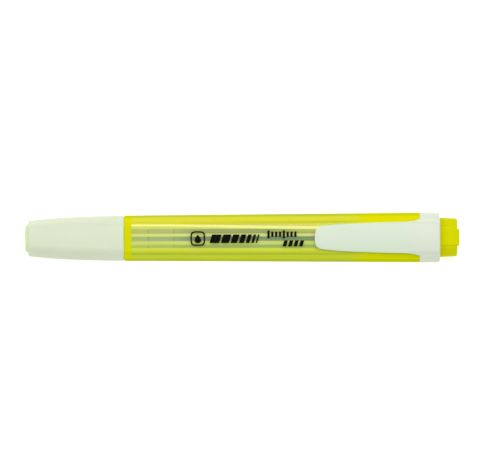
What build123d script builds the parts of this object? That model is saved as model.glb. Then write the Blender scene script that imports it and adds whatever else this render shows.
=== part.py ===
"""A slim pocket highlighter: a flat, faceted barrel with a pull-off cap and a sprung pocket clip.

The pen lies on a surface with its clip up. +X runs along it from the cap to the tail plug, +Z is up,
and the origin is on the surface, under the middle of the pen. All sizes are in millimetres.
"""

import os

from build123d import *

# Overall sizes
LENGTH = 136.0
BARREL_WIDTH_FRONT, BARREL_WIDTH_REAR = 14.3, 15.57
BARREL_THICK = 11.4
AXIS_Z = BARREL_THICK / 2
SLIP = 0.05  # room round pieces that are pushed together
SEAM = 0.1  # gap between the closed cap and the barrel
FIT = 0.1  # room between the cap and what it closes on

# Stations along X
CAP_END = -LENGTH / 2
TAIL_END = LENGTH / 2
SLEEVE_END = CAP_END + 0.98
BARREL_FRONT = CAP_END + 31.0
COLLAR_FRONT = CAP_END + 123.6
COLLAR_REAR = CAP_END + 129.9
BLOCK_END = TAIL_END - 0.57

# Cross-section: a rectangle with slanted shoulders and rounded corners
FLAT_SHARE = 0.627  # width of the flat top, as a share of the whole width
DROP_SHARE = 0.254  # height of a shoulder, as a share of the whole thickness
EDGE_RADIUS = 1.8

# Barrel: bore, the ribs along it, and the stepped-down tail
BORE_WIDTH, BORE_THICK = 12.1, 8.6
RIB_HEIGHT, RIB_WIDTH, RIB_PITCH = 0.7, 1.0, 2.35
RIB_START = BARREL_FRONT + 2.3
RIB_OVERLAP = 8.0  # how far the ribs run past the ink store, over the tail plug's spigot
STEP_WIDTH, STEP_THICK = BORE_WIDTH + 1.8, BORE_THICK + 1.4
MOUTH_ROUND = 0.7
TRIM = 0.01
CORE_WIDTH = BORE_WIDTH - 2 * RIB_HEIGHT - 2 * SLIP  # what passes between the ribs
CORE_THICK = BORE_THICK - 2 * RIB_HEIGHT - 2 * SLIP
CORE_ROUND = 2.4
SPIGOT_WALL = 1.0
SPIGOT_BORE = (CORE_WIDTH - 2 * SPIGOT_WALL, CORE_THICK - 2 * SPIGOT_WALL, CORE_ROUND - 0.8)

# Front section and nib
NECK_WIDTH, NECK_THICK, NECK_LENGTH = 11.6, 8.3, 5.6
BEAD_RISE, BEAD_FROM, BEAD_LENGTH = 0.05, 2.2, 0.7
LAND_WIDTH, LAND_THICK, LAND_LENGTH, LAND_ROUND = 8.85, 6.35, 5.2, 2.6
NOSE_WIDTH, NOSE_THICK, NOSE_LENGTH, NOSE_ROUND = 6.8, 5.2, 5.0, 2.2
NECK_END = BARREL_FRONT - NECK_LENGTH
LAND_END = NECK_END - LAND_LENGTH
NOSE_END = LAND_END - NOSE_LENGTH
SPIGOT_END = RIB_START + 5.3
NIB_WIDTH, NIB_THICK, NIB_OUT, NIB_ROUND = 5.0, 3.4, 5.6, 0.7
SOCKET_DEPTH = 6.5
WICK_WIDTH, WICK_THICK, WICK_ROUND = 3.4, 2.4, 0.6
WICK_END = SPIGOT_END + 4.0
CHISEL_RUN, CHISEL_FLAT, BEVEL_RUN, BEVEL_HALF = 3.2, 1.1, 4.0, 0.55

# Ink store
STORE_WIDTH, STORE_THICK, STORE_ROUND = 10.2, 6.7, 2.3
STORE_END = CAP_END + 106.2
FILM_WALL = 0.15
FILM_START = SPIGOT_END + 8.0
FILM_END = STORE_END - 1.2

# Tail plug
FLANGE_THICK = 1.0
COLLAR_BACK = 1.15
FLANGE_START = COLLAR_REAR - COLLAR_BACK - FLANGE_THICK
BLOCK_START = COLLAR_REAR - COLLAR_BACK - SLIP
BLOCK_WIDTH, BLOCK_THICK, BLOCK_DRAFT, BLOCK_ROUND = 12.55, 8.0, 0.65, 0.7
BAND_WIDTH, BAND_RISE, BAND_ROUND = 5.33, 0.3, 0.5

# Pocket clip
COLLAR_WIDTH, COLLAR_TAPER, COLLAR_ROUND = 15.82, 0.25, 0.5
COLLAR_TOP_FLAT, COLLAR_SHOULDER, COLLAR_CORNER = 9.5, 4.4, 1.3
CLIP_TOP = 13.8
CLIP_THICK, CLIP_TIP_THICK, CLIP_TIP_DROP, CLIP_BOW = 1.45, 1.0, 0.9, 0.12
CLIP_TIP = CAP_END + 90.65
CLIP_HINGE = COLLAR_FRONT - 1.0
CLIP_EDGE = 0.35
PAD_LENGTH, PAD_WIDTH, PAD_RISE, PAD_GAP = 5.2, 4.8, 0.9, 0.15

# Cap
CAP_WIDTH, CAP_THICK = 14.27, 11.3
CAP_TAPER_LENGTH, CAP_STATIONS, CAP_CORNER = 30.0, 7, 3.2
SLEEVE_WALL, SLEEVE_END_WALL, SLEEVE_ROUND, SLEEVE_LIP = 0.5, 0.75, 0.6, 0.2
CORE_START = SLEEVE_END + SLEEVE_END_WALL + SLIP
CORE_MOUTH = BARREL_FRONT - 0.3
CORE_END_WALL = 1.0
GRIP_START = CORE_MOUTH - 6.5
GRIP_WIDTH, GRIP_THICK = NECK_WIDTH + 2 * (BEAD_RISE + FIT), NECK_THICK + 2 * (BEAD_RISE + FIT)
CUP_WIDTH, CUP_THICK = 8.9, 7.0
BOSS_WIDTH, BOSS_THICK, BOSS_CORNER, BOSS_ROUND = 8.6, 5.8, 2.2, 0.6
SEAL_WALL = 0.6
SEAL_START = CORE_START + CORE_END_WALL + SLIP
SEAL_LIP = NECK_END - 1.6
SEAL_LAND = LAND_END - 0.6
SEAL_INSIDE_WIDTH, SEAL_INSIDE_THICK, SEAL_INSIDE_ROUND = 7.2, 5.4, 1.8


def yz_plane(x, z=AXIS_Z):
    """The plane across the pen at x: its own x is +Y and its own y is +Z."""
    return Plane(origin=(x, 0, z), x_dir=(0, 1, 0), z_dir=(1, 0, 0))


def octagon(right_side, radius):
    """A face from the corners of its right-hand side, mirrored to the left, with the corners rounded."""
    left_side = [(-y, z) for y, z in reversed(right_side)]
    outline = make_face(Polyline(*right_side, *left_side, close=True))
    return fillet(outline.vertices(), radius)


def faceted(x, width, thick, radius=EDGE_RADIUS):
    """The pen's own cross-section, at any size."""
    crown, half, high = width * FLAT_SHARE / 2, width / 2, thick / 2
    side = high - thick * DROP_SHARE
    return yz_plane(x) * octagon([(crown, high), (half, side), (half, -side), (crown, -high)], radius)


def rounded(x, width, thick, radius):
    """A rounded rectangle across the pen at x."""
    return yz_plane(x) * RectangleRounded(width, thick, radius)


def prism(section, end):
    """The section carried along X from where it lies to the station end."""
    return extrude(section, amount=end - section.center().X, dir=(1, 0, 0))


def rim(part, x):
    """The outer edges of the largest face that a part has across the pen at x."""
    faces = part.faces().filter_by_position(Axis.X, x - 1e-3, x + 1e-3)
    return faces.sort_by(SortBy.AREA)[-1].outer_wire().edges()


def bore_ribs(start, end):
    """The ribs along the inside of the barrel: four on each flat face and one on each side."""
    length, middle = end - start, (start + end) / 2
    ribs = []
    for side in (-1, 1):
        for count in (-1.5, -0.5, 0.5, 1.5):
            place = Pos(middle, count * RIB_PITCH, AXIS_Z + side * BORE_THICK / 2)
            ribs.append(place * Box(length, RIB_WIDTH, 2 * RIB_HEIGHT))
        ribs.append(Pos(middle, side * BORE_WIDTH / 2, AXIS_Z) * Box(length, 2 * RIB_HEIGHT, RIB_WIDTH))
    return ribs


def barrel():
    """The tinted clear tube, with a stepped-down tail that the clip's collar goes on."""
    front = faceted(BARREL_FRONT, BARREL_WIDTH_FRONT, BARREL_THICK + 2 * TRIM)
    rear = faceted(COLLAR_FRONT, BARREL_WIDTH_REAR, BARREL_THICK + 2 * TRIM)
    # The tapered body is trimmed to a slab, which leaves its top and bottom truly flat.
    body = loft([front, rear]) & Pos(0, 0, AXIS_Z) * Box(LENGTH, LENGTH, BARREL_THICK)
    body = fillet(rim(body, BARREL_FRONT), MOUTH_ROUND)
    body += prism(faceted(COLLAR_FRONT, STEP_WIDTH, STEP_THICK), FLANGE_START)
    bore = prism(faceted(BARREL_FRONT, BORE_WIDTH, BORE_THICK), FLANGE_START)
    for rib in bore_ribs(RIB_START, STORE_END + RIB_OVERLAP):
        bore -= rib
    return body - bore


def front_section():
    """The moulding pressed into the barrel's mouth: a neck for the cap, a seal land, and the nib's nose."""
    body = prism(faceted(NECK_END, NECK_WIDTH, NECK_THICK), BARREL_FRONT)
    body = chamfer(rim(body, NECK_END), 0.5)
    bead_start = NECK_END + BEAD_FROM
    bead = faceted(bead_start, NECK_WIDTH + 2 * BEAD_RISE, NECK_THICK + 2 * BEAD_RISE)
    body += prism(bead, bead_start + BEAD_LENGTH)
    body += prism(faceted(BARREL_FRONT, BORE_WIDTH - 2 * SLIP, BORE_THICK - 2 * SLIP), RIB_START - SLIP)
    body += prism(rounded(RIB_START - SLIP, CORE_WIDTH, CORE_THICK, CORE_ROUND), SPIGOT_END)
    body += prism(rounded(LAND_END, LAND_WIDTH, LAND_THICK, LAND_ROUND), NECK_END)
    tip = rounded(NOSE_END, NOSE_WIDTH, NOSE_THICK, NOSE_ROUND)
    root = rounded(LAND_END, LAND_WIDTH - 0.6, LAND_THICK - 0.4, LAND_ROUND - 0.2)
    nose = loft([tip, root])
    body += fillet(rim(nose, NOSE_END), 0.5)
    socket = rounded(NOSE_END, NIB_WIDTH + SLIP, NIB_THICK + SLIP, NIB_ROUND + 0.02)
    body -= prism(socket, NOSE_END + SOCKET_DEPTH)
    passage = rounded(NOSE_END + SOCKET_DEPTH, WICK_WIDTH + 0.5, WICK_THICK + 0.5, WICK_ROUND + 0.2)
    body -= prism(passage, BARREL_FRONT)
    hollow = rounded(BARREL_FRONT, *SPIGOT_BORE)
    return body - prism(hollow, SPIGOT_END)


def nib():
    """The felt nib, cut to a chisel, with a narrow wick that reaches into the ink store."""
    tip = NOSE_END - NIB_OUT
    shoulder = NOSE_END + SOCKET_DEPTH - SLIP
    body = prism(rounded(tip, NIB_WIDTH, NIB_THICK, NIB_ROUND), shoulder)
    body += prism(rounded(shoulder, WICK_WIDTH, WICK_THICK, WICK_ROUND), WICK_END)
    # The end is cut slantwise across the nib's width, all but a short flat.
    wide, flat = NIB_WIDTH / 2, NIB_WIDTH / 2 - CHISEL_FLAT
    slant = make_face(Polyline((tip, -flat), (tip + CHISEL_RUN, wide), (tip, wide), close=True))
    body -= extrude(Plane.XY * slant, amount=BARREL_THICK)
    # Then both faces are thinned towards the writing edge.
    high = NIB_THICK / 2
    corners = [(tip, BEVEL_HALF), (tip + BEVEL_RUN, high), (tip, high)]
    for side in (-1, 1):
        bevel = make_face(Polyline(*[(x, AXIS_Z + side * z) for x, z in corners], close=True))
        body -= extrude(Plane.XZ * bevel, amount=NIB_WIDTH, both=True)
    return body


def ink_store():
    """The fibre block that holds the ink, with a pocket for the nib's wick."""
    start = SPIGOT_END + SLIP
    body = prism(rounded(start, STORE_WIDTH, STORE_THICK, STORE_ROUND), STORE_END)
    pocket = rounded(start, WICK_WIDTH + 2 * SLIP, WICK_THICK + 2 * SLIP, WICK_ROUND)
    return body - prism(pocket, WICK_END + SLIP)


def store_film():
    """The thin plastic wrap round the ink store. It stops short of both ends."""
    room = 0.02
    inside = rounded(FILM_START, STORE_WIDTH + room, STORE_THICK + room, STORE_ROUND)
    size = [inner + 2 * FILM_WALL for inner in (STORE_WIDTH, STORE_THICK)]
    outside = rounded(FILM_START, *size, STORE_ROUND + FILM_WALL)
    return prism(outside, FILM_END) - prism(inside, FILM_END)


def block_section(x, width, thick):
    """The cross-section of the block behind the collar, with narrower shoulders than the barrel's."""
    crown, half, high, shoulder = width * 0.53 / 2, width / 2, thick / 2, thick / 4
    right = [(crown, high), (half, high - shoulder), (half, shoulder - high), (crown, -high)]
    return yz_plane(x) * octagon(right, 1.4)


def tail_plug():
    """The plug that closes the barrel: a hollow spigot, a flange, and the block that shows."""
    start = STORE_END + SLIP
    seal_start = STORE_END + RIB_OVERLAP + SLIP
    body = prism(rounded(start, CORE_WIDTH, CORE_THICK, CORE_ROUND), FLANGE_START)
    body += prism(faceted(seal_start, BORE_WIDTH - 2 * SLIP, BORE_THICK - 2 * SLIP), FLANGE_START)
    hollow = rounded(start, *SPIGOT_BORE)
    body -= prism(hollow, FLANGE_START - SPIGOT_WALL)
    body += prism(faceted(FLANGE_START, STEP_WIDTH, STEP_THICK), BLOCK_START)
    near = block_section(BLOCK_START, BLOCK_WIDTH, BLOCK_THICK)
    far = block_section(BLOCK_END, BLOCK_WIDTH - BLOCK_DRAFT, BLOCK_THICK - BLOCK_DRAFT)
    block = loft([near, far])
    body += fillet(rim(block, BLOCK_END), BLOCK_ROUND)
    band_thick = BLOCK_THICK + 2 * BAND_RISE
    band = prism(rounded(BLOCK_START, BAND_WIDTH, band_thick, BAND_ROUND), TAIL_END)
    return body + fillet(rim(band, TAIL_END), 0.45)


def collar_section(x, width):
    """The collar's outline: the barrel's own below, with taller shoulders that rise to the clip arm."""
    half, foot, crown = width / 2, width * FLAT_SHARE / 2, COLLAR_TOP_FLAT / 2
    low, high = BARREL_THICK * DROP_SHARE, CLIP_TOP - COLLAR_SHOULDER
    right = [(crown, CLIP_TOP), (half, high), (half, low), (foot, 0)]
    return yz_plane(x, z=0) * octagon(right, COLLAR_CORNER)


def arm_plan():
    """The clip arm seen from above: a blunt round tip, sides that flare, and fillets at the collar."""
    tip_end, waist = (CLIP_TIP + 2.7, 3.66), (CLIP_TIP + 27.5, 4.87)
    tip = Bezier((CLIP_TIP, 0), (CLIP_TIP, 2.9), (CLIP_TIP + 0.9, 3.4), tip_end)
    side = Bezier(tip_end, (CLIP_TIP + 9.0, 4.55), waist)
    root = Bezier(waist, (COLLAR_FRONT - 1.15, 5.0), (COLLAR_FRONT, 5.95))
    half = [tip, side, root]
    back = Line(root @ 1, (COLLAR_FRONT, -(root @ 1).Y))
    other_half = [mirror(curve, Plane.XZ) for curve in half]
    return extrude(make_face([*half, back, *other_half]), amount=2 * CLIP_TOP)


def shoulders():
    """The collar's outline carried forward over the clip arm, so that the arm's flare runs into it."""
    return prism(collar_section(CLIP_TIP - 1, COLLAR_WIDTH), COLLAR_FRONT)


def arm_side():
    """The clip arm seen from the side: it dips towards its tip, where it is thinner."""
    start, end = CLIP_TIP - 1, CLIP_HINGE - SEAM
    middle = (start + end) / 2
    top_tip = CLIP_TOP - CLIP_TIP_DROP
    top_middle = (top_tip + CLIP_TOP) / 2 + CLIP_BOW
    upper = ThreePointArc((start, top_tip), (middle, top_middle), (end, CLIP_TOP))
    low_tip, low_end = top_tip - CLIP_TIP_THICK, CLIP_TOP - CLIP_THICK
    lower = ThreePointArc((start, low_tip), (middle, top_middle - CLIP_THICK), (end, low_end))
    side = make_face([upper, Line(upper @ 1, lower @ 1), lower, Line(lower @ 0, upper @ 0)])
    return extrude(Plane.XZ * side, amount=COLLAR_WIDTH / 2, both=True)


def clip_arm():
    """The springy arm of the pocket clip, with the pad under its tip that grips the cloth."""
    arm = arm_plan() & arm_side()
    top = arm.faces().sort_by(Axis.Z)[-1]
    sides = top.edges().filter_by(lambda edge: edge.center().X < CLIP_HINGE - 1)
    arm = fillet(sides, CLIP_EDGE) & shoulders()
    half = PAD_LENGTH / 2
    curve = ThreePointArc((-half, PAD_RISE), (0, 0), (half, PAD_RISE))
    pad_side = make_face([curve, Line(curve @ 0, curve @ 1)])
    pad = extrude(Plane.XZ * pad_side, amount=PAD_WIDTH / 2, both=True)
    return arm + Pos(CLIP_TIP + PAD_LENGTH, 0, BARREL_THICK + PAD_GAP) * pad


def clip_collar():
    """The cup that holds the clip on: it goes over the barrel's tail and traps the plug's flange."""
    back = COLLAR_REAR - COLLAR_BACK
    near = collar_section(COLLAR_FRONT, COLLAR_WIDTH)
    far = collar_section(COLLAR_REAR, COLLAR_WIDTH - COLLAR_TAPER)
    body = loft([near, far])
    body = fillet(rim(body, COLLAR_REAR), COLLAR_ROUND)
    root_length = COLLAR_FRONT - CLIP_HINGE
    root = Box(root_length, COLLAR_WIDTH, CLIP_THICK)
    root = Pos(CLIP_HINGE + root_length / 2, 0, CLIP_TOP - CLIP_THICK / 2) * root
    body += arm_plan() & root & shoulders()
    body -= prism(faceted(COLLAR_FRONT, STEP_WIDTH + 2 * SLIP, STEP_THICK + 2 * SLIP), back)
    window = block_section(back, BLOCK_WIDTH + 2 * SLIP, BLOCK_THICK + 2 * SLIP)
    slot = rounded(back, BAND_WIDTH + 2 * SLIP, BLOCK_THICK + 2 * (BAND_RISE + SLIP), BAND_ROUND)
    return body - prism(window, COLLAR_REAR) - prism(slot, COLLAR_REAR)


def cap_section(x, wall):
    """The cap's cross-section at x, less a wall: nearly straight at the mouth and curving in to its end."""
    share = 1 - (x - CAP_END) / CAP_TAPER_LENGTH
    taper = share + 2.35 * share**3
    return faceted(x, CAP_WIDTH - taper - 2 * wall, CAP_THICK - taper / 2 - 2 * wall, CAP_CORNER)


def cap_shape(start, end, wall=0.0):
    """A solid with the cap's outline between two stations, less a wall."""
    step = (end - start) / (CAP_STATIONS - 1)
    return loft([cap_section(start + count * step, wall) for count in range(CAP_STATIONS)])


def cap_sleeve():
    """The soft skin of the cap, open at the mouth, with a window at its end for the core's boss."""
    mouth = BARREL_FRONT - SEAM
    body = cap_shape(SLEEVE_END, mouth)
    body = fillet(rim(body, SLEEVE_END), SLEEVE_ROUND)
    body = fillet(rim(body, mouth), SLEEVE_LIP)
    body -= cap_shape(SLEEVE_END + SLEEVE_END_WALL, mouth, SLEEVE_WALL)
    window = rounded(SLEEVE_END, BOSS_WIDTH + SLIP, BOSS_THICK + SLIP, BOSS_CORNER)
    return body - prism(window, SLEEVE_END + 2 * SLEEVE_END_WALL)


def cap_core():
    """The hard coloured cup inside the sleeve. Its boss shows through the sleeve's end."""
    body = cap_shape(CORE_START, CORE_MOUTH, SLEEVE_WALL + SLIP / 2)
    boss = prism(rounded(CAP_END, BOSS_WIDTH, BOSS_THICK, BOSS_CORNER), CORE_START)
    body += fillet(rim(boss, CAP_END), BOSS_ROUND)
    grip = faceted(GRIP_START, GRIP_WIDTH, GRIP_THICK)
    bottom = faceted(CORE_START + CORE_END_WALL, CUP_WIDTH, CUP_THICK)
    return body - prism(grip, CORE_MOUTH) - loft([bottom, grip])


def inner_seal():
    """The cup inside the cap that closes round the seal land and keeps the nib wet."""
    width, thick = LAND_WIDTH + 2 * FIT, LAND_THICK + 2 * FIT
    collar = faceted(SEAL_LAND, width + 2 * SEAL_WALL, thick + 2 * SEAL_WALL)
    foot = faceted(SEAL_START, CUP_WIDTH - 2 * SLIP, CUP_THICK - 2 * SLIP)
    outside = prism(collar, SEAL_LIP) + loft([foot, collar])
    land = rounded(SEAL_LAND, width, thick, LAND_ROUND)
    bottom = rounded(SEAL_START + SEAL_WALL, SEAL_INSIDE_WIDTH, SEAL_INSIDE_THICK, SEAL_INSIDE_ROUND)
    return outside - prism(land, SEAL_LIP) - loft([bottom, land])


PARTS = [
    barrel,
    front_section,
    nib,
    ink_store,
    store_film,
    tail_plug,
    clip_collar,
    clip_arm,
    cap_sleeve,
    cap_core,
    inner_seal,
]

os.makedirs("parts", exist_ok=True)
for make in PARTS:
    export_step(make(), f"parts/{make.__name__}.step")
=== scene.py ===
import math

import bmesh
import bpy
import numpy as np
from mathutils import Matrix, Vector


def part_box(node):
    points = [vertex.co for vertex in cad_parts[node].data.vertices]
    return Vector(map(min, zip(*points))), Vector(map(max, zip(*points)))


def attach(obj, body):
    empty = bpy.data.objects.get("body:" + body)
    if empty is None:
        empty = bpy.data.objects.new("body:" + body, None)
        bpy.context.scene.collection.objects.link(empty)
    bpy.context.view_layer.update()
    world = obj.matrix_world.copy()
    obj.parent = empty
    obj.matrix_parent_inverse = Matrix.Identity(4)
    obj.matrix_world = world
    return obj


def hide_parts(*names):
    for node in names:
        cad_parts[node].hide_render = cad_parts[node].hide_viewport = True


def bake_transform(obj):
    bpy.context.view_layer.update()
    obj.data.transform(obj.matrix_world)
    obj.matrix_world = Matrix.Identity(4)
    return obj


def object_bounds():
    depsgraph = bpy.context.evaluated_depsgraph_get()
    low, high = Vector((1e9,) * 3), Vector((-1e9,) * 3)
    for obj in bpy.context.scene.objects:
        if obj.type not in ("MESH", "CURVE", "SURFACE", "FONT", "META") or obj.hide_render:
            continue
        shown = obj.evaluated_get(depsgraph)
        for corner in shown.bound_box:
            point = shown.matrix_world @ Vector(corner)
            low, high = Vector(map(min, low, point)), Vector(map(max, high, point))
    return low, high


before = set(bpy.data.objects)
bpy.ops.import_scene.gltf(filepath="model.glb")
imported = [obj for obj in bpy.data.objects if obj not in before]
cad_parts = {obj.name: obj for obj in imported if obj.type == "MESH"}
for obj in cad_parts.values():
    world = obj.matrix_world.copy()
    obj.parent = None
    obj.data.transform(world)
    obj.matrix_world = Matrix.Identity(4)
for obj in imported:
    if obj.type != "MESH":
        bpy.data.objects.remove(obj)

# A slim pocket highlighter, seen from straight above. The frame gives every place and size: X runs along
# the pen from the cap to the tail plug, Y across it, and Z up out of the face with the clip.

MM = 0.001
cad_low, cad_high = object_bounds()

# Places along and round the pen, read from the frame
BARREL_LOW, BARREL_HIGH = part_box("barrel")
STORE_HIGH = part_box("ink_store")[1]
FILM_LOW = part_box("store_film")[0]
COLLAR_LOW, COLLAR_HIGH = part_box("clip_collar")
ARM_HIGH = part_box("clip_arm")[1]
CAP_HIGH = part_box("cap_sleeve")[1]
NECK_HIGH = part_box("front_section")[1]
AXIS_Z = (BARREL_LOW.z + BARREL_HIGH.z) / 2
CAP_END = cad_low.x
RIB_START = BARREL_LOW.x + 2.3 * MM
BORE_HALF_WIDTH = 6.05 * MM
BORE_HALF_THICK = 4.3 * MM
BORE_SLACK = 0.05 * MM
SPIGOT_END = NECK_HIGH.x
TOP_Z = BARREL_HIGH.z

# The barrel's look, as distances across the pen from its middle line
CLEAR_HALF = 4.35 * MM  # the flat top face, which is see-through
# Painted shade: the crease's darker line is painted into the skin's colour.
CREASE_AT, CREASE_HALF = 5.0 * MM, 0.3 * MM  # the darker line where the flat face meets the shoulder
SIDE_START, SIDE_END = 6.6 * MM, 7.0 * MM  # where the shoulder turns into the side wall
SHOULDER_TOP, SHOULDER_LOW = 4.0 * MM, 3.2 * MM  # heights off the axis over which a shoulder turns to side
# The highlight's line is a painted highlight on the barrel's inner wall.
LINE_NEAR, LINE_FAR = 4.1 * MM, 3.2 * MM  # the highlight's line, at the mouth and further along
LINE_REACH = FILM_LOW.x + 45 * MM
SHADOW_TICK_HALF = 0.15 * MM

# Shaping of the pieces
CLIP_CROWN = 0.7 * MM  # how far the clip's top falls from its middle to its edges
CLIP_OVERLAP = 0.3 * MM  # how far the arm's root is let into the collar before they are joined
CLIP_VOXEL, NIB_VOXEL = 0.14 * MM, 0.12 * MM
NIB_WAVES, NIB_WAVE_DEPTH = 24, 0.004 * MM
SLEEVE_CROWN = 0.7 * MM  # how far the sleeve's flat faces fall from their middle to their edges
MOUTH_GAP = 0.09 * MM  # how far the skin's lip comes forward, over most of the gap at the barrel

# Layout of the printing, along the pen from the cap's end and across it
PRINT_RISE = 0.012 * MM
BADGE_X, BADGE_Y, BADGE_HALF, BADGE_LINE = CAP_END + 54.15 * MM, -0.15 * MM, 2.3 * MM, 0.45 * MM
DROP_SIZE, DROP_LOWER = 1.4 * MM, 0.1 * MM
SCALE_X, SCALE_Y, SCALE_HEIGHT, SCALE_GAP = CAP_END + 58.2 * MM, -0.25 * MM, 2.7 * MM, 0.55 * MM
SCALE_WIDTHS = (3.0, 2.5, 2.0, 1.6, 1.2, 0.8, 0.5)  # in mm
RULE_X, RULE_Y, RULE_PITCH, RULE_WIDTH = CAP_END + 75.9 * MM, 1.1 * MM, 1.2 * MM, 0.72 * MM
DASH_X, DASH_Y, DASH_PITCH, DASH_WIDTH = CAP_END + 80.9 * MM, -1.75 * MM, 1.7 * MM, 1.15 * MM
LEAN = 0.3

# Studio
LAMP_PLACE, LAMP_LENGTH, LAMP_WIDTH, LAMP_POWER = Vector((0.0, 0.11, 0.44)), 0.5, 0.16, 1.2
ROOM_COLOUR, ROOM_STRENGTH = (0.94, 1.0, 0.84, 1.0), 0.43
FLOOR_SIZE, FLOOR_GAP = 12.0, 0.05 * MM
VIEW_WIDTH, CAMERA_HEIGHT, SENSOR = 150.18 * MM, 2.0, 36.0
CAMERA_X, CAMERA_Y, CAMERA_ROLL = -0.81 * MM, 1.85 * MM, -0.16  # the roll is in degrees


# Shader helper

class Shader:
    """One node material. Each call adds a node and returns one of its output sockets."""

    def __init__(self, name):
        self.material = bpy.data.materials.new(name)
        self.material.use_nodes = True
        self.nodes = self.material.node_tree.nodes
        self.links = self.material.node_tree.links
        self.nodes.clear()
        place = self.nodes.new("ShaderNodeTexCoord").outputs["Object"]
        self.place = place
        split = self.nodes.new("ShaderNodeSeparateXYZ")
        self.links.new(place, split.inputs[0])
        self.x, self.y, self.z = split.outputs

    def add(self, kind, inputs, output=0, **settings):
        node = self.nodes.new("ShaderNode" + kind)
        for key, value in settings.items():
            setattr(node, key, value)
        for key, value in inputs.items():
            if isinstance(value, bpy.types.NodeSocket):
                self.links.new(value, node.inputs[key])
            else:
                node.inputs[key].default_value = value
        return node.outputs[output]

    def math(self, operation, a, b=0.0, clamp=False):
        return self.add("Math", {0: a, 1: b}, operation=operation, use_clamp=clamp)

    def away(self, value, centre=0.0):
        """How far a coordinate is from a centre, either way."""
        return self.math("ABSOLUTE", self.math("SUBTRACT", value, centre))

    def ramp(self, value, start, end, low=0.0, high=1.0):
        """Goes smoothly from low to high as value goes from start to end."""
        inputs = {"Value": value, "From Min": start, "From Max": end, "To Min": low, "To Max": high}
        return self.add("MapRange", inputs, interpolation_type="SMOOTHSTEP")

    def inside(self, value, half, soft=0.06 * MM):
        """1 where value is under half, and 0 beyond, with a soft edge."""
        return self.ramp(value, half + soft, half - soft)

    def noise(self, across, along=None, detail=3.0, roughness=0.5):
        """Noise with features of the given size in metres across the pen, and another size along it."""
        along = along or across
        scale = (1 / along, 1 / across, 1 / across)
        size = self.add("VectorMath", {0: self.place, 1: scale}, operation="MULTIPLY")
        inputs = {"Vector": size, "Scale": 1.0, "Detail": detail, "Roughness": roughness}
        return self.add("TexNoise", inputs)

    def colours(self, amount, first, second):
        """A mix of two colours by amount."""
        inputs = {0: amount, 6: self.opaque(first), 7: self.opaque(second)}
        return self.add("Mix", inputs, output=2, data_type="RGBA")

    def opaque(self, colour):
        return colour if isinstance(colour, bpy.types.NodeSocket) else (*colour, 1.0)

    def bump(self, height, depth, strength=1.0):
        return self.add("Bump", {"Height": height, "Distance": depth, "Strength": strength})

    def principled(self, colour, roughness, **more):
        inputs = {"Base Color": self.opaque(colour), "Roughness": roughness}
        inputs.update({key.replace("_", " "): value for key, value in more.items()})
        return self.add("BsdfPrincipled", inputs)

    def finish(self, surface):
        output = self.nodes.new("ShaderNodeOutputMaterial")
        self.links.new(surface, output.inputs["Surface"])
        return self.material


# Materials

YELLOW = (0.74, 0.71, 0.001)
YELLOW_GLOSS = (1.0, 0.98, 0.02, 1.0)

# Painted highlights: bright lines where the ribs gather light, painted into the inner wall's colour; middle,
# half width and softness in mm, and two colours
RIB_GLOWS = [
    (3.52, 0.68, 0.12, (0.70, 0.71, 0.12), (0.80, 0.78, 0.20)),
    (0.94, 0.46, 0.15, (0.76, 0.75, 0.18), (0.84, 0.82, 0.26)),
    (-1.52, 0.56, 0.28, (0.66, 0.71, 0.15), (0.76, 0.79, 0.22)),
    (-3.85, 0.75, 0.12, (0.68, 0.74, 0.03), (0.78, 0.80, 0.05)),
]


def soft_sleeve():
    """Soft-touch skin: matte, pale, with a fine grain and a faint cloudiness."""
    shader = Shader("soft_sleeve")
    cloud = shader.noise(4 * MM, 9 * MM, detail=2)
    colour = shader.colours(shader.ramp(cloud, 0.3, 0.7), (0.785, 0.848, 0.66), (0.805, 0.868, 0.70))
    grain = shader.noise(0.16 * MM, detail=2)
    rough = shader.ramp(shader.noise(1.5 * MM), 0.2, 0.8, 0.44, 0.56)
    bump = shader.bump(grain, 0.02 * MM, 0.5)
    skin = shader.principled(colour, rough, Normal=bump, Specular_IOR_Level=0.5, Subsurface_Weight=0.12,
                             Subsurface_Radius=(1.0, 1.0, 0.7), Subsurface_Scale=1.2 * MM)
    return shader.finish(skin)


def pale_plastic():
    """The clip's pale moulding: satin, with a very fine spark-eroded texture."""
    shader = Shader("pale_plastic")
    cloud = shader.noise(5 * MM, 12 * MM, detail=2)
    colour = shader.colours(shader.ramp(cloud, 0.3, 0.7), (0.75, 0.835, 0.715), (0.77, 0.85, 0.745))
    grey = shader.colours(shader.ramp(cloud, 0.3, 0.7), (0.79, 0.83, 0.745), (0.81, 0.85, 0.775))
    colour = shader.colours(shader.ramp(shader.x, COLLAR_LOW.x - 5 * MM, COLLAR_LOW.x + 2 * MM), colour, grey)
    rough = shader.ramp(shader.noise(2 * MM), 0.2, 0.8, 0.34, 0.44)
    bump = shader.bump(shader.noise(0.12 * MM, detail=2), 0.012 * MM, 0.4)
    skin = shader.principled(colour, rough, Normal=bump, Specular_IOR_Level=0.4, Subsurface_Weight=0.08,
                             Subsurface_Radius=(1.0, 1.0, 0.8), Subsurface_Scale=1.0 * MM)
    return shader.finish(skin)


def yellow_plastic():
    """Opaque fluorescent yellow moulding, with faint flow marks."""
    shader = Shader("yellow_plastic")
    flow = shader.noise(1.2 * MM, 6 * MM, detail=3)
    colour = shader.colours(shader.ramp(flow, 0.3, 0.7), YELLOW, (0.70, 0.72, 0.001))
    rough = shader.ramp(shader.noise(0.9 * MM), 0.25, 0.75, 0.26, 0.38)
    bump = shader.bump(shader.noise(0.2 * MM, detail=2), 0.01 * MM, 0.35)
    skin = shader.principled(colour, rough, Normal=bump, Specular_IOR_Level=0.3, Specular_Tint=YELLOW_GLOSS)
    return shader.finish(skin)


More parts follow.
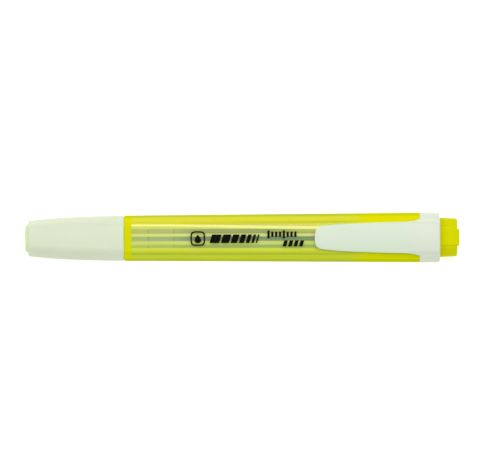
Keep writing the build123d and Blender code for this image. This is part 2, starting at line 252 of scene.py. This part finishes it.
def solid_ends(shader):
    """1 where opaque yellow mouldings lie behind the clear barrel, at its mouth and over the tail plug."""
    mouth = shader.ramp(shader.x, RIB_START + 0.1 * MM, RIB_START - 0.1 * MM)
    tail = shader.ramp(shader.x, STORE_HIGH.x - 8 * MM, STORE_HIGH.x + 2 * MM)
    return shader.math("MAXIMUM", mouth, tail)


def barrel_skin():
    """The outside of the clear barrel: clear over the flat faces, and yellow where the plastic is thick. Its
    colour holds painted light: the +Y side painted warmer than the -Y side, painted shade along the creases,
    and the side walls painted darker.
    """
    shader = Shader("barrel_skin")
    off_y, off_z = shader.away(shader.y), shader.away(shader.z, AXIS_Z)
    solid = solid_ends(shader)
    streaks = shader.noise(0.3 * MM, 16 * MM, detail=4, roughness=0.6)
    haze = shader.ramp(off_y, 0.0, 3.2 * MM, 0.05, 0.22)
    haze = shader.math("ADD", haze, shader.ramp(streaks, 0.3, 0.7, -0.04, 0.05))
    side = shader.ramp(off_y, SIDE_START, SIDE_END)
    over_side = shader.math("MULTIPLY", shader.inside(off_z, 1.6 * MM, 0.5 * MM), side)
    over_flat = shader.inside(off_y, CLEAR_HALF, 0.2 * MM)
    depth = shader.add("Mix", {0: over_flat, 2: 0.97, 3: haze})
    depth = shader.add("Mix", {0: over_side, 2: depth, 3: 0.55})
    depth = shader.math("MAXIMUM", depth, solid)
    # Painted light: towards the lamp on the +Y side the shoulders and solid ends are painted warmer, and on
    # the -Y side greener.
    lit_side = shader.ramp(shader.y, -4.5 * MM, 4.5 * MM)
    light = shader.colours(lit_side, (0.68, 0.77, 0.012), (0.81, 0.76, 0.022))
    dim = shader.colours(lit_side, (0.60, 0.70, 0.010), (0.74, 0.71, 0.014))
    shoulder = shader.colours(shader.ramp(streaks, 0.25, 0.75), dim, light)
    # Painted shade along the crease where the flat face meets the shoulder. It is stronger on the -Y side,
    # and on the +Y side it grows towards the clip, where the clip's shadow falls.
    crease_shade = shader.inside(shader.away(off_y, CREASE_AT), CREASE_HALF, 0.25 * MM)
    crease_shade_by_clip = shader.ramp(shader.x, -20 * MM, 34 * MM, 0.1, 0.55)
    crease_shade_share = shader.add("Mix", {0: lit_side, 2: 0.6, 3: crease_shade_by_clip})
    crease_shade = shader.math("MULTIPLY", crease_shade, crease_shade_share)
    shoulder = shader.colours(crease_shade, shoulder, (0.42, 0.52, 0.03))
    # Painted shade: the side walls, seen edge on, turn from the shoulder colour to a darker green, both over
    # the clear part and over the solid ends.
    edge_on_shade = shader.colours(shader.ramp(streaks, 0.25, 0.75), (0.44, 0.52, 0.010), (0.52, 0.58, 0.016))
    edge_on = shader.ramp(off_z, SHOULDER_TOP, SHOULDER_LOW)
    tone = shader.colours(edge_on, shoulder, edge_on_shade)
    backed = shader.colours(lit_side, (0.74, 0.77, 0.001), (0.80, 0.74, 0.001))
    colour = shader.colours(solid, tone, shader.colours(edge_on, backed, (0.56, 0.62, 0.002)))
    bump = shader.bump(shader.noise(0.5 * MM, 8 * MM, detail=3), 0.008 * MM, 0.3)
    body = shader.principled(colour, 0.4, Normal=bump, Specular_IOR_Level=0.0)
    clear = shader.add("BsdfTransparent", {"Color": (1.0, 1.0, 0.96, 1.0)})
    inner = shader.add("MixShader", {0: depth, 1: clear, 2: body})
    over_shoulder = shader.ramp(off_y, 4.5 * MM, 6.2 * MM)
    gloss_colour = shader.colours(over_shoulder, (1.0, 1.0, 0.95), (1.0, 1.0, 0.4))
    gloss_colour = shader.colours(solid, gloss_colour, YELLOW_GLOSS[:3])
    rough = shader.ramp(shader.noise(1.0 * MM, 5 * MM), 0.3, 0.7, 0.14, 0.22)
    gloss = shader.add("BsdfGlossy", {"Color": gloss_colour, "Roughness": rough, "Normal": bump})
    edge = shader.add("Fresnel", {"IOR": 1.45, "Normal": bump})
    return shader.finish(shader.add("MixShader", {0: edge, 1: inner, 2: gloss}))


def barrel_inside():
    """The barrel's ribbed inner wall: the ribs gather light, shown as painted highlights, and the ink shows
    between them. Its colour also holds a painted highlight line that glows a little, painted haze on the +Y
    band, and painted shadow ticks at the edges of the pieces behind.
    """
    shader = Shader("barrel_inside")
    streaks = shader.ramp(shader.noise(0.2 * MM, 18 * MM, detail=4, roughness=0.6), 0.3, 0.7)
    lengthwise = shader.ramp(shader.x, FILM_LOW.x - 1 * MM, FILM_LOW.x + 9 * MM)
    green = shader.ramp(shader.y, -0.8 * MM, -2.4 * MM)
    # Painted light: the band on the +Y side is painted lighter, as haze from the highlight, and further along
    # the pen it is painted lighter still.
    side = shader.ramp(shader.y, 0.8 * MM, 2.4 * MM)
    near = shader.colours(green, (0.30, 0.45, 0.20), (0.36, 0.52, 0.10))
    near = shader.colours(side, near, (0.38, 0.48, 0.20))
    far = shader.colours(green, (0.09, 0.22, 0.14), (0.20, 0.40, 0.10))
    far = shader.colours(side, far, (0.20, 0.32, 0.15))
    colour = shader.colours(lengthwise, near, far)
    highlight_haze = shader.math("MULTIPLY", side, shader.ramp(shader.x, 8 * MM, 20 * MM, 0.0, 0.6))
    colour = shader.colours(highlight_haze, colour, (0.60, 0.66, 0.14))
    colour = shader.colours(shader.math("MULTIPLY", streaks, 0.3), colour, (0.55, 0.62, 0.28))
    # Painted shadow: thin dark ticks where the front section's spigot ends and where the film starts,
    # standing in for the shadowed gaps at those edges.
    for edge in (SPIGOT_END, FILM_LOW.x):
        shadow_tick = shader.inside(shader.away(shader.x, edge), SHADOW_TICK_HALF, 0.12 * MM)
        colour = shader.colours(shader.math("MULTIPLY", shadow_tick, 0.5), colour, (0.10, 0.16, 0.08))
    bright = 0.0
    # Painted highlights on the ribs, which are also made more opaque.
    for centre, half, soft, dim, light in RIB_GLOWS:
        rib_highlight = shader.inside(shader.away(shader.y, centre * MM), half * MM, soft * MM)
        colour = shader.colours(rib_highlight, colour, shader.colours(streaks, dim, light))
        bright = shader.math("MAXIMUM", bright, rib_highlight)
    # Painted highlight: a bright line along the upper rib, sliding across it along the pen. It also glows a
    # little.
    line_y = shader.ramp(shader.x, RIB_START, LINE_REACH, LINE_NEAR, LINE_FAR)
    line_half = shader.ramp(shader.x, RIB_START, LINE_REACH, 0.36 * MM, 0.45 * MM)
    off_line = shader.math("SUBTRACT", shader.away(shader.y, line_y), line_half)
    line = shader.inside(off_line, 0.0, 0.22 * MM)
    colour = shader.colours(line, colour, (1.0, 0.98, 0.30))
    amount = shader.math("ADD", 0.85, shader.math("MULTIPLY", bright, 0.12))
    amount = shader.math("MULTIPLY", amount, shader.math("SUBTRACT", 1.0, solid_ends(shader)))
    highlight_glow_colour = shader.colours(line, (0.0, 0.0, 0.0), (1.0, 0.92, 0.45))
    body = shader.principled(colour, 0.4, Specular_IOR_Level=0.1, Emission_Color=highlight_glow_colour,
                             Emission_Strength=0.16)
    clear = shader.add("BsdfTransparent", {"Color": (1.0, 1.0, 0.9, 1.0)})
    return shader.finish(shader.add("MixShader", {0: amount, 1: clear, 2: body}))


def core_plastic():
    """The cap's hard core: milky, and only lightly tinted."""
    shader = Shader("core_plastic")
    flow = shader.noise(1.2 * MM, 5 * MM, detail=3)
    colour = shader.colours(shader.ramp(flow, 0.3, 0.7), (0.84, 0.92, 0.55), (0.88, 0.95, 0.63))
    rough = shader.ramp(shader.noise(0.9 * MM), 0.25, 0.75, 0.3, 0.42)
    bump = shader.bump(shader.noise(0.2 * MM, detail=2), 0.01 * MM, 0.35)
    return shader.finish(shader.principled(colour, rough, Normal=bump, Specular_IOR_Level=0.35,
                                           Subsurface_Weight=0.1, Subsurface_Scale=1.0 * MM))


def felt():
    """Pressed felt soaked with yellow ink, with fibres along the nib."""
    shader = Shader("felt")
    fibre = shader.noise(0.09 * MM, 0.9 * MM, detail=4, roughness=0.6)
    patch = shader.noise(0.8 * MM, detail=2)
    colour = shader.colours(shader.ramp(fibre, 0.3, 0.7), (0.62, 0.60, 0.01), (0.90, 0.88, 0.05))
    colour = shader.colours(shader.ramp(patch, 0.35, 0.75, 0.0, 0.35), colour, (0.55, 0.58, 0.01))
    bump = shader.bump(fibre, 0.05 * MM, 0.8)
    skin = shader.principled(colour, 0.85, Normal=bump, Specular_IOR_Level=0.15, Sheen_Weight=0.25)
    return shader.finish(skin)


def ink_fibre():
    """The ink store: a bundle of fibres along the pen, dark with ink."""
    shader = Shader("ink_fibre")
    fibre = shader.noise(0.12 * MM, 6 * MM, detail=4, roughness=0.65)
    colour = shader.colours(shader.ramp(fibre, 0.3, 0.7), (0.30, 0.40, 0.10), (0.55, 0.62, 0.22))
    skin = shader.principled(colour, 0.8, Normal=shader.bump(fibre, 0.06 * MM, 0.8), Specular_IOR_Level=0.2)
    return shader.finish(skin)


def film():
    """The thin tinted wrap round the ink store."""
    shader = Shader("film")
    wrinkle = shader.noise(0.6 * MM, 9 * MM, detail=3)
    colour = shader.colours(shader.ramp(wrinkle, 0.3, 0.7), (0.09, 0.24, 0.09), (0.17, 0.33, 0.13))
    bump = shader.bump(wrinkle, 0.05 * MM, 0.6)
    skin = shader.principled(colour, 0.3, Normal=bump, Specular_IOR_Level=0.4)
    return shader.finish(skin)


def seal():
    """Natural, slightly milky plastic of the cap's inner cup."""
    shader = Shader("seal")
    cloud = shader.noise(1.5 * MM, detail=2)
    colour = shader.colours(shader.ramp(cloud, 0.3, 0.7), (0.72, 0.76, 0.66), (0.80, 0.82, 0.74))
    bump = shader.bump(shader.noise(0.2 * MM), 0.01 * MM, 0.4)
    return shader.finish(shader.principled(colour, 0.42, Normal=bump, Subsurface_Weight=0.1,
                                           Subsurface_Scale=1.0 * MM))


def print_ink():
    """Black pad-printed ink, a little uneven."""
    shader = Shader("print_ink")
    patch = shader.noise(0.25 * MM, detail=3)
    colour = shader.colours(shader.ramp(patch, 0.3, 0.7), (0.001, 0.003, 0.001), (0.006, 0.009, 0.005))
    rough = shader.ramp(patch, 0.3, 0.7, 0.5, 0.65)
    return shader.finish(shader.principled(colour, rough, Specular_IOR_Level=0.03))


def floor_paper():
    """Seamless white paper, lit a little from below so that it stays white round the pen."""
    shader = Shader("floor_paper")
    fibre = shader.noise(0.4 * MM, detail=3)
    colour = shader.colours(shader.ramp(fibre, 0.3, 0.7), (0.84, 0.84, 0.84), (0.88, 0.88, 0.88))
    paper = shader.principled(colour, 0.9, Specular_IOR_Level=0.1, Emission_Color=(1, 1, 1, 1),
                              Emission_Strength=0.6)
    return shader.finish(paper)


# Pieces

def use(piece, *materials):
    """Gives a piece these materials, in place of those it has."""
    slots = piece.data.materials
    while len(slots) > len(materials):
        slots.pop()
    while len(slots) < len(materials):
        slots.append(None)
    for index, material in enumerate(materials):
        slots[index] = material


def copy_of(node, name):
    """A new piece with a copy of a CAD node's mesh."""
    piece = bpy.data.objects.new(name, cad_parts[node].data.copy())
    bpy.context.scene.collection.objects.link(piece)
    return piece


def clear_barrel(skin, inside):
    """The barrel, with one material outside and another on its ribbed inner wall. Light passes through it."""
    piece = copy_of("barrel", "clear_barrel")
    use(piece, skin, inside)
    points = np.abs(points_of(piece) - (0, 0, AXIS_Z))
    within = (points[:, 1] < BORE_HALF_WIDTH + BORE_SLACK) & (points[:, 2] < BORE_HALF_THICK + BORE_SLACK)
    for face in piece.data.polygons:
        inner = all(within[vertex] for vertex in face.vertices) and abs(face.normal.x) < 0.5
        face.material_index = 1 if inner else 0
    piece.visible_shadow = False
    piece.visible_diffuse = False
    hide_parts("barrel")
    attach(piece, "pen")
    return piece


def reshape(piece, *modifiers):
    """Puts a piece's mesh through modifiers, each given as its type and its settings."""
    for kind, settings in modifiers:
        modifier = piece.modifiers.new(kind, kind)
        for key, value in settings.items():
            setattr(modifier, key, value)
    graph = bpy.context.evaluated_depsgraph_get()
    piece.data = bpy.data.meshes.new_from_object(piece.evaluated_get(graph))
    piece.modifiers.clear()
    piece.data.shade_smooth()


def points_of(piece):
    points = np.empty(len(piece.data.vertices) * 3)
    piece.data.vertices.foreach_get("co", points)
    return points.reshape(-1, 3)


def set_points(piece, points):
    piece.data.vertices.foreach_set("co", points.ravel())
    piece.data.update()


def smooth_step(value, start, end):
    share = np.clip((value - start) / (end - start), 0.0, 1.0)
    return share * share * (3 - 2 * share)


def pocket_clip(material):
    """The arm and the collar as the one moulding that they are."""
    arm = copy_of("clip_arm", "arm_part")
    points = points_of(arm)
    root = points[:, 0] > ARM_HIGH.x - 0.01 * MM
    points[root, 0] += CLIP_OVERLAP
    set_points(arm, points)
    piece = copy_of("clip_collar", "pocket_clip")
    with bpy.context.temp_override(active_object=piece, selected_editable_objects=[piece, arm]):
        bpy.ops.object.join()
    remesh = ("REMESH", {"mode": "VOXEL", "voxel_size": CLIP_VOXEL, "adaptivity": 0.0})
    reshape(piece, remesh, ("SMOOTH", {"factor": 0.5, "iterations": 5}))
    points = points_of(piece)
    above = smooth_step(points[:, 2], TOP_Z - 1 * MM, TOP_Z + 1 * MM)
    points[:, 2] -= CLIP_CROWN * above * (points[:, 1] / COLLAR_HIGH.y) ** 2
    set_points(piece, points)
    use(piece, material)
    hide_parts("clip_collar", "clip_arm")
    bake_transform(piece)
    return piece


def crowned_sleeve(material):
    """The cap's skin, with its two flat faces swelling a little towards the middle."""
    piece = copy_of("cap_sleeve", "soft_cap_skin")
    points = points_of(piece)
    y, z = points[:, 1], points[:, 2] - AXIS_Z
    facing = np.array([vertex.normal.y * vertex.co.y + vertex.normal.z * (vertex.co.z - AXIS_Z)
                       for vertex in piece.data.vertices])
    fall = SLEEVE_CROWN * (y / CAP_HIGH.y) ** 2 * smooth_step(np.abs(z), 0.0, 4 * MM)
    points[:, 2] -= np.where(facing > 0, np.sign(z) * fall, 0.0)
    points[:, 0] += MOUTH_GAP * smooth_step(points[:, 0], CAP_HIGH.x - 0.5 * MM, CAP_HIGH.x - 0.05 * MM)
    set_points(piece, points)
    use(piece, material)
    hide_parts("cap_sleeve")
    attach(piece, "cap")
    return piece


def felt_nib(material):
    """The nib, with its edges rounded by the pressing and its surface a little uneven."""
    piece = copy_of("nib", "felt_nib")
    remesh = ("REMESH", {"mode": "VOXEL", "voxel_size": NIB_VOXEL, "adaptivity": 0.0})
    reshape(piece, remesh, ("SMOOTH", {"factor": 0.5, "iterations": 6}))
    rng = np.random.default_rng(4)
    points = points_of(piece)
    for _ in range(NIB_WAVES):
        wave = rng.normal(size=3) * (0.5, 1.6, 1.6) / MM
        swell = np.sin(points @ wave + rng.uniform(0, 6.28))[:, None]
        points += NIB_WAVE_DEPTH * swell * rng.normal(size=3)
    set_points(piece, points)
    use(piece, material)
    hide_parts("nib")
    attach(piece, "pen")
    return piece


def plate(mesh, outline):
    """Adds a thin plate of ink on the barrel's top face, given its outline in metres."""
    top = [mesh.verts.new((x, y, TOP_Z + PRINT_RISE)) for x, y in outline]
    low = [mesh.verts.new((x, y, TOP_Z - PRINT_RISE)) for x, y in outline]
    mesh.faces.new(top)
    mesh.faces.new(low[::-1])
    for index in range(len(outline)):
        after = (index + 1) % len(outline)
        mesh.faces.new((low[index], low[after], top[after], top[index]))


def band(mesh, outer, inner):
    """Adds a plate with a hole: two outlines with the same number of points."""
    count = len(outer)
    rings = []
    for line, rise in ((outer, -1), (outer, 1), (inner, 1), (inner, -1)):
        rings.append([mesh.verts.new((x, y, TOP_Z + rise * PRINT_RISE)) for x, y in line])
    for first, second in zip(rings, rings[1:] + rings[:1]):
        for index in range(count):
            after = (index + 1) % count
            mesh.faces.new((first[index], first[after], second[after], second[index]))


def squircle(x, y, half, count=48):
    """A square outline with very round corners."""
    outline = []
    for step in range(count):
        turn = 2 * math.pi * step / count
        reach = half / (abs(math.cos(turn)) ** 4 + abs(math.sin(turn)) ** 4) ** 0.25
        outline.append((x + reach * math.cos(turn), y + reach * math.sin(turn)))
    return outline


def drop(x, y, size, count=40):
    """The outline of an ink drop with its point towards +Y."""
    outline = []
    for step in range(count):
        turn = 2 * math.pi * step / count
        across = math.sin(turn) * math.sin(turn / 2) ** 1.2
        outline.append((x - size * across, y + size * math.cos(turn)))
    return outline


def stroke(x, y, width, height, slant):
    """The outline of a leaning stroke."""
    lean = slant * height / 2
    return [(x - lean, y - height / 2), (x + width - lean, y - height / 2),
            (x + width + lean, y + height / 2), (x + lean, y + height / 2)]


def print_marks(material):
    """Generic printing: a drop in a frame, a scale of line widths, and two short rows of ticks."""
    mesh = bmesh.new()
    frame_inside = BADGE_HALF - BADGE_LINE
    band(mesh, squircle(BADGE_X, BADGE_Y, BADGE_HALF), squircle(BADGE_X, BADGE_Y, frame_inside))
    plate(mesh, drop(BADGE_X, BADGE_Y - DROP_LOWER, DROP_SIZE))
    place = SCALE_X
    for width in SCALE_WIDTHS:
        plate(mesh, stroke(place, SCALE_Y, width * MM, SCALE_HEIGHT, LEAN))
        place += width * MM + SCALE_GAP
    for count in range(8):
        height = 2.5 if count % 4 == 0 else 1.7
        plate(mesh, stroke(RULE_X + count * RULE_PITCH, RULE_Y, RULE_WIDTH, height * MM, 0.0))
    for count in range(4):
        plate(mesh, stroke(DASH_X + count * DASH_PITCH, DASH_Y, DASH_WIDTH, 1.9 * MM, LEAN))
    bmesh.ops.recalc_face_normals(mesh, faces=mesh.faces)
    data = bpy.data.meshes.new("print_marks")
    mesh.to_mesh(data)
    mesh.free()
    piece = bpy.data.objects.new("print_marks", data)
    bpy.context.scene.collection.objects.link(piece)
    use(piece, material)
    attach(piece, "pen")
    return piece


def add_lights():
    """A pale room, and a long softbox high over the pen, a little to its +Y side."""
    world = bpy.data.worlds.new("studio")
    bpy.context.scene.world = world
    world.use_nodes = True
    background = world.node_tree.nodes["Background"]
    background.inputs["Color"].default_value = ROOM_COLOUR
    background.inputs["Strength"].default_value = ROOM_STRENGTH
    light = bpy.data.lights.new("softbox", "AREA")
    light.shape = "RECTANGLE"
    light.size, light.size_y = LAMP_LENGTH, LAMP_WIDTH
    light.energy = LAMP_POWER
    lamp = bpy.data.objects.new("softbox", light)
    lamp.location = LAMP_PLACE
    lamp.rotation_euler = (-LAMP_PLACE).to_track_quat("-Z", "Y").to_euler()
    bpy.context.scene.collection.objects.link(lamp)


def add_floor(material):
    bpy.ops.mesh.primitive_plane_add(size=FLOOR_SIZE, location=(0.0, 0.0, cad_low.z - FLOOR_GAP))
    floor = bpy.context.object
    floor.name = "floor"
    use(floor, material)


def add_camera():
    """Straight above the pen. The pen lies a little to the right of and below the middle of the frame."""
    camera = bpy.data.cameras.new("camera")
    camera.sensor_width = SENSOR
    camera.lens = SENSOR * (CAMERA_HEIGHT - AXIS_Z) / VIEW_WIDTH
    camera.clip_end = 10.0
    eye = bpy.data.objects.new("camera", camera)
    eye.location = (CAMERA_X, CAMERA_Y, CAMERA_HEIGHT)
    eye.rotation_euler = (0.0, 0.0, math.radians(CAMERA_ROLL))
    bpy.context.scene.collection.objects.link(eye)
    bpy.context.scene.camera = eye


bpy.context.scene.view_settings.view_transform = "Standard"
add_camera()
add_lights()
add_floor(floor_paper())

yellow = yellow_plastic()
NODE_MATERIALS = {
    "front_section": yellow,
    "tail_plug": yellow,
    "cap_core": core_plastic(),
    "ink_store": ink_fibre(),
    "store_film": film(),
    "inner_seal": seal(),
}
for node, material in NODE_MATERIALS.items():
    use(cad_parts[node], material)
clear_barrel(barrel_skin(), barrel_inside())
pocket_clip(pale_plastic())
crowned_sleeve(soft_sleeve())
felt_nib(felt())
print_marks(print_ink())
